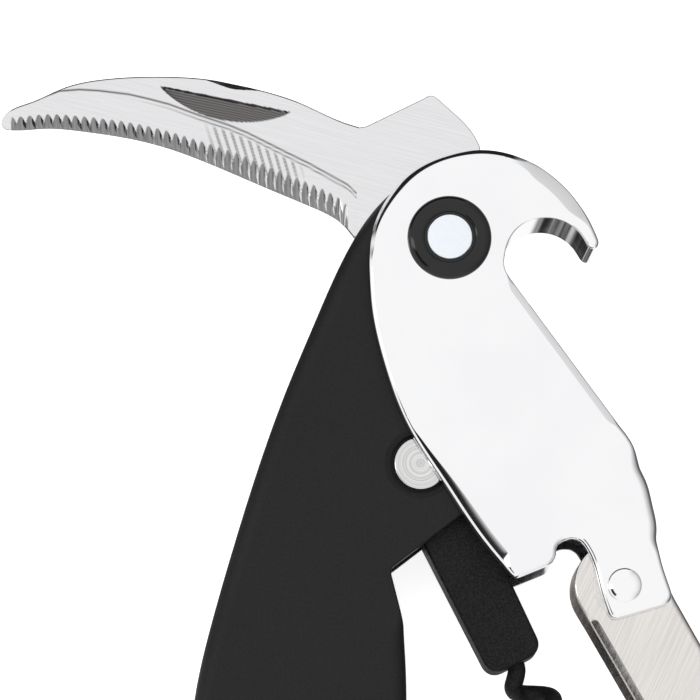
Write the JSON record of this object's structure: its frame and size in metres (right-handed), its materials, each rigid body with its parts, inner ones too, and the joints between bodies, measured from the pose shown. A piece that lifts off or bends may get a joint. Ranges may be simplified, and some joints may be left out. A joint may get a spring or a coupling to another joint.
{
  "type": "lever corkscrew",
  "caption": "Two-step lever corkscrew: black handle, chrome bird-head lever with cap opener and black and white eye, folding foil blade, coated worm, hinged step.",
  "frame": {"origin": "on the main pivot axis, at the rear eye's outer face that the tool rests on", "axes": "+Z along the pivots from the rear side to the front side, -Y down the handle, +X from the handle's back towards the bottle side"},
  "size_m": [0.1132, 0.1615, 0.0176],
  "materials": {
    "body_coat": "matt black, glass-filled polyamide",
    "chrome": "mirror chrome on zinc casting",
    "blade_steel": "polished steel with a ground edge",
    "worm_coat": "grainy black non-stick coating on steel",
    "step_steel": "brushed stainless sheet",
    "pin_steel": "turned steel",
    "spring_steel": "tempered strip",
    "bush_brass": "turned",
    "eye_black": "glossy black",
    "eye_white": "satin white",
    "polymer": "bearing polymer"
  },
  "bodies": {
    "body": {"front_body_half": "body_coat", "rear_body_half": "body_coat", "body_screws": "pin_steel", "blade_washers": "polymer", "blade_stop_pin": "pin_steel", "blade_spring": "spring_steel", "blade_spring_pin": "pin_steel", "worm_pivot_pin": "pin_steel", "worm_washers": "polymer"},
    "blade": {"blade": "blade_steel"},
    "lever": {"lever": "chrome", "lever_washers": "polymer", "main_pivot_barrel": "pin_steel", "main_pivot_screw": "pin_steel", "front_eye_ring": "eye_black", "rear_eye_ring": "eye_black", "front_eye_disc": "eye_white", "rear_eye_disc": "eye_white", "second_step_rivet": "chrome"},
    "worm": {"worm_hub": "worm_coat", "worm": "worm_coat", "worm_roll_pin": "pin_steel", "worm_pivot_bush": "bush_brass"},
    "second_step": {"second_step_arm": "step_steel", "second_step_washers": "polymer"}
  },
  "joints": [
    {"name": "blade_fold", "type": "hinge", "parent": "body", "child": "blade", "pos_m": [0, 0, 0.0088], "axis": [0, 0, 1], "range_deg": [0, 80]},
    {"name": "lever_pivot", "type": "hinge", "parent": "body", "child": "lever", "pos_m": [0, 0, 0.0088], "axis": [0, 0, 1], "range_deg": [-20, 28]},
    {"name": "worm_fold", "type": "hinge", "parent": "body", "child": "worm", "pos_m": [-0.0041, -0.0326, 0.0088], "axis": [0, 0, 1], "range_deg": [-20, 28]},
    {"name": "second_step_hinge", "type": "hinge", "parent": "lever", "child": "second_step", "pos_m": [0.0252, -0.0504, 0.0088], "axis": [0, 0, 1], "range_deg": [-5, 60]}
  ],
  "couplings": [
    {"joint": "worm_fold", "follows": "lever_pivot", "ratio": 1}
  ]
}
